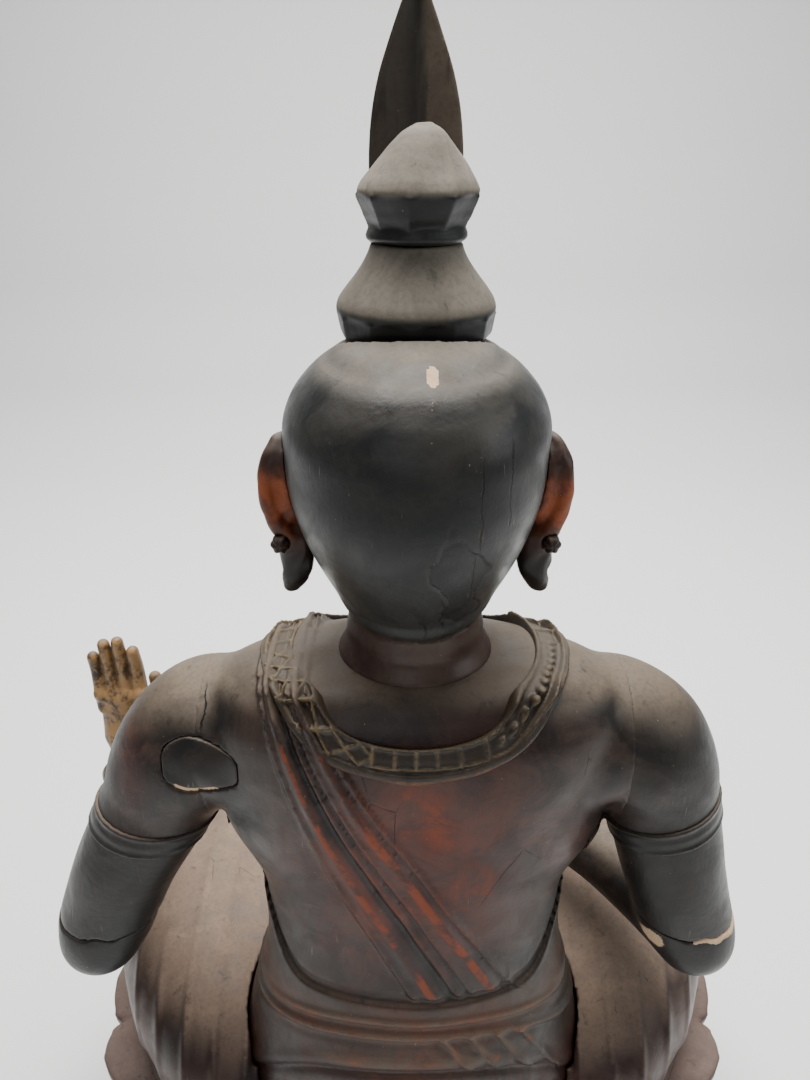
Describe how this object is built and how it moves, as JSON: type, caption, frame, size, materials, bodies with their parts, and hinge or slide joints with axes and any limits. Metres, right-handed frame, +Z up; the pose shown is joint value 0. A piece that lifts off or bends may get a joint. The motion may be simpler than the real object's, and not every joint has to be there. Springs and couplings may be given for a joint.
{
  "type": "seated buddha statue",
  "caption": "Cross-legged seated figure with topknot, tall crown leaf, collar and shawl, raised left hand, on a two-tier lotus throne; lacquered joined wood.",
  "frame": {"origin": "centre of the underside of the throne's foot", "axes": "+Z up; the figure faces -Y; +X is the figure's own left"},
  "size_m": [0.5146, 0.3766, 0.891],
  "materials": {
    "throne_lacquer": "aged red-brown lacquer, dusty",
    "body_lacquer": "dark red-brown lacquer, rubbed to orange, satin",
    "robe_lacquer": "dusty brown lacquer",
    "hair_lacquer": "black lacquer, satin, dusty on top",
    "worn_gilding": "worn gold leaf over dark lacquer",
    "bare_timber": "unfinished"
  },
  "bodies": {
    "throne": {"throne_foot": "throne_lacquer", "lower_petals": "throne_lacquer", "throne_waist": "throne_lacquer", "upper_petals": "throne_lacquer", "seat_board": "throne_lacquer", "left_seat_dowel": "bare_timber", "right_seat_dowel": "bare_timber"},
    "figure": {"left_shoulder_dowel": "bare_timber", "right_shoulder_dowel": "bare_timber", "left_knee_dowel": "bare_timber", "right_knee_dowel": "bare_timber", "left_lap_dowel": "bare_timber", "right_lap_dowel": "bare_timber", "left_elbow_dowel": "bare_timber", "right_elbow_dowel": "bare_timber", "trunk": "body_lacquer", "left_upper_arm": "body_lacquer", "right_upper_arm": "body_lacquer", "left_forearm": "body_lacquer", "right_forearm": "body_lacquer", "left_shoulder_patch": "body_lacquer", "left_ear": "body_lacquer", "right_ear": "body_lacquer", "lap_block": "robe_lacquer", "left_knee_block": "robe_lacquer", "right_knee_block": "robe_lacquer", "head": "hair_lacquer", "topknot_lower": "hair_lacquer", "topknot_upper": "hair_lacquer", "collar": "worn_gilding", "left_armlet": "worn_gilding", "right_armlet": "worn_gilding", "left_bracelet": "worn_gilding", "right_bracelet": "worn_gilding", "crown_band": "worn_gilding", "left_earring": "worn_gilding", "right_earring": "worn_gilding"},
    "left_hand": {"left_hand": "body_lacquer"},
    "right_hand": {"right_hand": "body_lacquer"},
    "crown_leaf": {"crown_leaf": "worn_gilding"}
  },
  "joints": [
    {"name": "figure_lift", "type": "slide", "parent": "throne", "child": "figure", "axis": [0, 0, 1], "range_m": [0, 0.06]},
    {"name": "left_hand_pull", "type": "slide", "parent": "figure", "child": "left_hand", "axis": [0.204, -0.979, 0], "range_m": [0, 0.035]},
    {"name": "right_hand_pull", "type": "slide", "parent": "figure", "child": "right_hand", "axis": [0.5882, -0.8087, 0], "range_m": [0, 0.035]},
    {"name": "crown_leaf_lift", "type": "slide", "parent": "figure", "child": "crown_leaf", "axis": [0, 0, 1], "range_m": [0, 0.05]}
  ]
}
